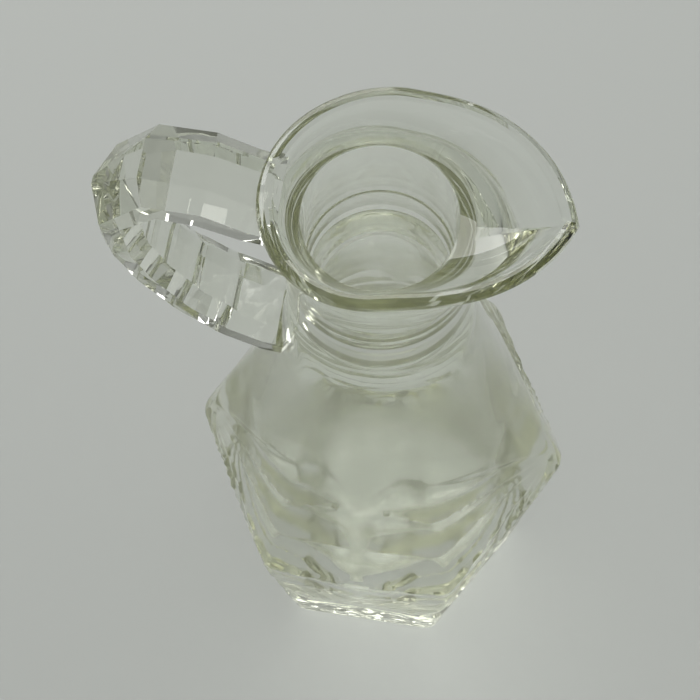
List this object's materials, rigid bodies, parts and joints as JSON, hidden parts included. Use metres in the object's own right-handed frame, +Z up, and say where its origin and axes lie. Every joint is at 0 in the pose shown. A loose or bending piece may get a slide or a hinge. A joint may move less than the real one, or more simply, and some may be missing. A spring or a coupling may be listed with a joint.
{
  "type": "glass cruet",
  "caption": "Clear pressed-glass cruet with a six-sided body, a round collared neck, a flared lip drawn out to a pouring spout and a faceted handle, open and without its stopper.",
  "frame": {"origin": "middle of the bounding box at the level of the base, on the plane that the base rests on", "axes": "+Z up along the neck, +X towards the pouring spout, -X towards the handle"},
  "size_m": [0.067, 0.0522, 0.1323],
  "materials": {
    "glass": "clear, smooth, very faint grey-green tint"
  },
  "bodies": {
    "root": {"cruet": "glass"}
  },
  "joints": []
}
